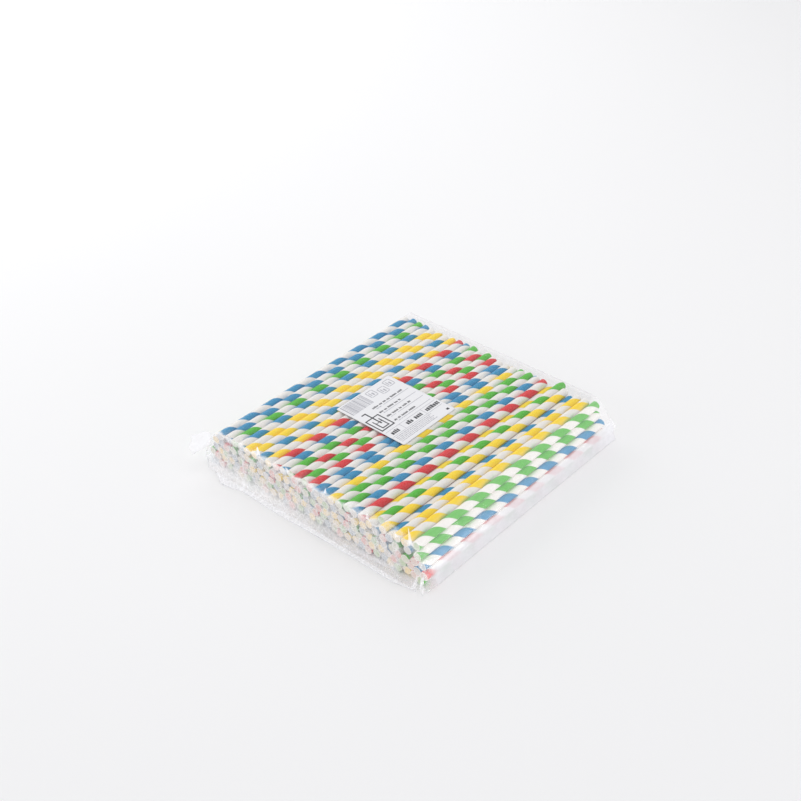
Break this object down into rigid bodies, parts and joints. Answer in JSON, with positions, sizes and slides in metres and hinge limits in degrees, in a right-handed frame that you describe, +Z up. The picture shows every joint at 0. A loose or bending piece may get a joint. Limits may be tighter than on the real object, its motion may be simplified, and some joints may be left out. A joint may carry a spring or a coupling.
{
  "type": "wrapped pack of paper drinking straws",
  "caption": "Flat pack of striped paper drinking straws piled in rows and sealed in a clear film wrapper, with a plain label on top.",
  "frame": {"origin": "on the floor, under the middle of the pile of straws", "axes": "+Z up, +Y along the straws towards their far ends in the picture, +X to the right"},
  "size_m": [0.2672, 0.2903, 0.0394],
  "materials": {
    "film": "clear, glossy, wrinkled",
    "label": "smooth matte sticker with grey print",
    "paper_blue": "matte, white with blue helical stripes",
    "paper_green": "matte, white with green helical stripes",
    "paper_red": "matte, white with red helical stripes",
    "paper_yellow": "matte, white with yellow helical stripes",
    "paper_mixed": "matte, white with helical stripes in four colours"
  },
  "bodies": {
    "root": {"film_bag": "film", "label": "label", "straw_01": "paper_blue", "straw_02": "paper_blue", "straw_03": "paper_green", "straw_04": "paper_blue", "straw_05": "paper_yellow", "straw_06": "paper_yellow", "straw_07": "paper_blue", "straw_08": "paper_yellow", "straw_09": "paper_red", "straw_10": "paper_blue", "straw_11": "paper_green", "straw_12": "paper_red", "straw_13": "paper_green", "straw_14": "paper_red", "straw_15": "paper_blue", "straw_16": "paper_blue", "straw_17": "paper_yellow", "straw_18": "paper_green", "straw_19": "paper_green", "straw_20": "paper_blue", "straw_21": "paper_red", "straw_22": "paper_yellow", "straw_23": "paper_green", "straw_24": "paper_yellow", "straw_25": "paper_blue", "straw_26": "paper_yellow", "straw_27": "paper_yellow", "straw_28": "paper_green", "second_row": "paper_mixed", "third_row": "paper_mixed", "fourth_row": "paper_mixed", "bottom_row": "paper_mixed"}
  },
  "joints": []
}
